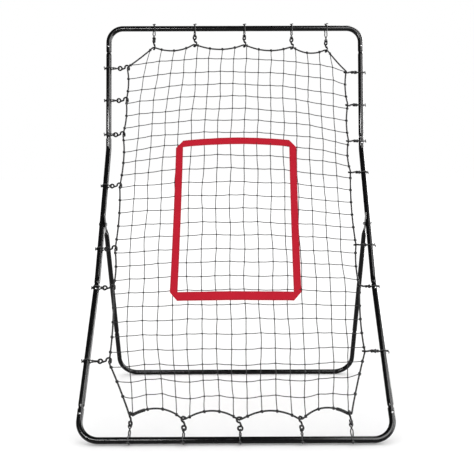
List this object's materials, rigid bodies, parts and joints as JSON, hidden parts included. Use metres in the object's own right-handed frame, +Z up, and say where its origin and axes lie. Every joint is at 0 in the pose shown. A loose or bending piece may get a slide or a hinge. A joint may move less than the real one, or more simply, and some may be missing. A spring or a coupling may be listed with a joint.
{
  "type": "pitching target net",
  "caption": "Free-standing rebound net for throwing practice: bent steel-tube frame on a hinged rear leg, square-mesh net on hooked elastic ties, red strike-zone band.",
  "frame": {"origin": "on the ground, under the middle of the whole object's box", "axes": "+X to the right across the net as the player sees it, +Y away from the player, +Z up"},
  "size_m": [1.0734, 0.8145, 1.4863],
  "materials": {
    "frame_black": "gloss black powder coat on steel tube",
    "fastener_steel": "dull zinc on bolts, washers and nuts",
    "button_steel": "plain zinc on the snap buttons",
    "net_black": "knotted black polyester net",
    "cord_black": "braided black border cord",
    "tie_black": "black elastic loop with a black coated steel hook",
    "strike_red": "red woven webbing, stitched along both edges"
  },
  "bodies": {
    "front_frame": {"bottom_u_tube": "frame_black", "lower_side_tube_left": "frame_black", "lower_side_tube_right": "frame_black", "middle_side_tube_left": "frame_black", "middle_side_tube_right": "frame_black", "net": "net_black", "net_border_cord": "cord_black", "pivot_bolt_left": "fastener_steel", "pivot_bolt_right": "fastener_steel", "pivot_nut_left": "fastener_steel", "pivot_nut_right": "fastener_steel", "pivot_washer_left": "fastener_steel", "pivot_washer_right": "fastener_steel", "strike_zone_band": "strike_red", "tie_bottom_1": "tie_black", "tie_bottom_2": "tie_black", "tie_bottom_3": "tie_black", "tie_bottom_4": "tie_black", "tie_bottom_5": "tie_black", "tie_left_1": "tie_black", "tie_left_2": "tie_black", "tie_left_3": "tie_black", "tie_left_4": "tie_black", "tie_left_5": "tie_black", "tie_left_6": "tie_black", "tie_left_7": "tie_black", "tie_right_1": "tie_black", "tie_right_2": "tie_black", "tie_right_3": "tie_black", "tie_right_4": "tie_black", "tie_right_5": "tie_black", "tie_right_6": "tie_black", "tie_right_7": "tie_black", "tie_top_1": "tie_black", "tie_top_2": "tie_black", "tie_top_3": "tie_black", "tie_top_4": "tie_black", "tie_top_5": "tie_black", "top_u_tube": "frame_black", "upper_side_tube_left": "frame_black", "upper_side_tube_right": "frame_black"},
    "rear_leg": {"rear_leg_left": "frame_black", "rear_leg_right": "frame_black", "rear_base_u": "frame_black"},
    "snap_button_lower_left_body": {"snap_button_lower_left": "button_steel"},
    "snap_button_lower_right_body": {"snap_button_lower_right": "button_steel"},
    "snap_button_middle_left_body": {"snap_button_middle_left": "button_steel"},
    "snap_button_middle_right_body": {"snap_button_middle_right": "button_steel"},
    "snap_button_upper_left_body": {"snap_button_upper_left": "button_steel"},
    "snap_button_upper_right_body": {"snap_button_upper_right": "button_steel"},
    "snap_button_top_left_body": {"snap_button_top_left": "button_steel"},
    "snap_button_top_right_body": {"snap_button_top_right": "button_steel"},
    "snap_button_rear_left_body": {"snap_button_rear_left": "button_steel"},
    "snap_button_rear_right_body": {"snap_button_rear_right": "button_steel"}
  },
  "joints": [
    {"name": "rear_leg_hinge", "type": "hinge", "parent": "front_frame", "child": "rear_leg", "pos_m": [0, 0.14183, 0.67929], "axis": [-1, 0, 0], "range_deg": [-12, 24]},
    {"name": "snap_button_lower_left_press", "type": "slide", "parent": "front_frame", "child": "snap_button_lower_left_body", "axis": [0, 0.749, -0.6626], "range_m": [0, 0.004], "stiffness_N_per_m": 2500},
    {"name": "snap_button_lower_right_press", "type": "slide", "parent": "front_frame", "child": "snap_button_lower_right_body", "axis": [0, 0.749, -0.6626], "range_m": [0, 0.004], "stiffness_N_per_m": 2500},
    {"name": "snap_button_middle_left_press", "type": "slide", "parent": "front_frame", "child": "snap_button_middle_left_body", "axis": [0, 0.749, -0.6626], "range_m": [0, 0.004], "stiffness_N_per_m": 2500},
    {"name": "snap_button_middle_right_press", "type": "slide", "parent": "front_frame", "child": "snap_button_middle_right_body", "axis": [0, 0.749, -0.6626], "range_m": [0, 0.004], "stiffness_N_per_m": 2500},
    {"name": "snap_button_upper_left_press", "type": "slide", "parent": "front_frame", "child": "snap_button_upper_left_body", "axis": [0, 0.9903, -0.1392], "range_m": [0, 0.004], "stiffness_N_per_m": 2500},
    {"name": "snap_button_upper_right_press", "type": "slide", "parent": "front_frame", "child": "snap_button_upper_right_body", "axis": [0, 0.9903, -0.1392], "range_m": [0, 0.004], "stiffness_N_per_m": 2500},
    {"name": "snap_button_top_left_press", "type": "slide", "parent": "front_frame", "child": "snap_button_top_left_body", "axis": [0, 0.9903, -0.1392], "range_m": [0, 0.004], "stiffness_N_per_m": 2500},
    {"name": "snap_button_top_right_press", "type": "slide", "parent": "front_frame", "child": "snap_button_top_right_body", "axis": [0, 0.9903, -0.1392], "range_m": [0, 0.004], "stiffness_N_per_m": 2500},
    {"name": "snap_button_rear_left_press", "type": "slide", "parent": "rear_leg", "child": "snap_button_rear_left_body", "axis": [0, -0.9418, -0.3363], "range_m": [0, 0.003], "stiffness_N_per_m": 2500},
    {"name": "snap_button_rear_right_press", "type": "slide", "parent": "rear_leg", "child": "snap_button_rear_right_body", "axis": [0, -0.9418, -0.3363], "range_m": [0, 0.003], "stiffness_N_per_m": 2500}
  ]
}
